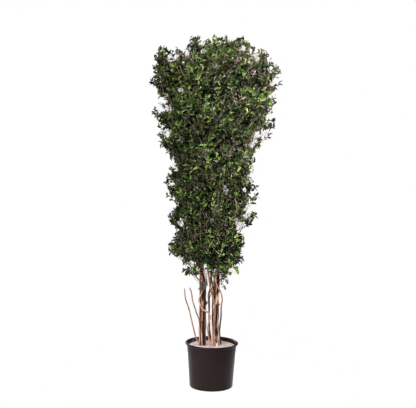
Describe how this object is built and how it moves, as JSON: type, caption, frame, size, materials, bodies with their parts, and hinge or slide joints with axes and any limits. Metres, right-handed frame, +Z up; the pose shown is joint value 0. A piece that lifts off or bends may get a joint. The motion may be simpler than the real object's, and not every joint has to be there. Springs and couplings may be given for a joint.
{
  "type": "potted preserved pittosporum tree",
  "caption": "Tall narrow column of small green leaves on clustered natural bark stems, set in plaster in a round tapered nursery pot.",
  "frame": {"origin": "middle of the pot's flat underside, on the surface that it stands on", "axes": "+Z up along the tree, +X to the right and -Y towards the viewer of its front"},
  "size_m": [0.7689, 0.7796, 2.127],
  "materials": {
    "pot": "satin brown-black moulded plastic",
    "plaster": "rough pale pinkish cast plaster",
    "bark_reddish": "fluted reddish-brown bark",
    "bark_pale": "fluted peach-brown bark",
    "bark_orange": "thin orange-brown bark",
    "bark_dark": "thin dark brown bark",
    "foliage": "soft-sheen green leaves"
  },
  "bodies": {
    "root": {"pot": "pot", "fill": "plaster", "trunk_left": "bark_reddish", "trunk_right": "bark_pale", "stem_front": "bark_orange", "stem_middle": "bark_dark", "stem_bowed": "bark_pale", "stem_winding": "bark_pale", "shoot_outer": "bark_pale", "shoot_inner": "bark_dark", "bough_left_1": "bark_reddish", "bough_left_2": "bark_reddish", "bough_left_3": "bark_reddish", "bough_left_4": "bark_reddish", "bough_left_5": "bark_reddish", "bough_left_6": "bark_reddish", "bough_right_1": "bark_pale", "bough_right_2": "bark_pale", "bough_right_3": "bark_pale", "bough_right_4": "bark_pale", "bough_right_5": "bark_pale", "bough_right_6": "bark_pale", "bough_front_1": "bark_orange", "bough_front_2": "bark_orange", "bough_front_3": "bark_orange", "bough_front_4": "bark_orange", "bough_back_1": "bark_dark", "bough_back_2": "bark_dark", "bough_back_3": "bark_dark", "bough_back_4": "bark_dark", "foliage_left_1": "foliage", "foliage_left_2": "foliage", "foliage_left_3": "foliage", "foliage_left_4": "foliage", "foliage_left_5": "foliage", "foliage_left_6": "foliage", "foliage_right_1": "foliage", "foliage_right_2": "foliage", "foliage_right_3": "foliage", "foliage_right_4": "foliage", "foliage_right_5": "foliage", "foliage_right_6": "foliage", "foliage_front_1": "foliage", "foliage_front_2": "foliage", "foliage_front_3": "foliage", "foliage_front_4": "foliage", "foliage_front_5": "foliage", "foliage_back_1": "foliage", "foliage_back_2": "foliage", "foliage_back_3": "foliage", "foliage_back_4": "foliage", "foliage_back_5": "foliage", "foliage_low_front_left": "foliage", "foliage_low_front_right": "foliage", "foliage_top_left": "foliage", "foliage_top_right": "foliage"}
  },
  "joints": []
}
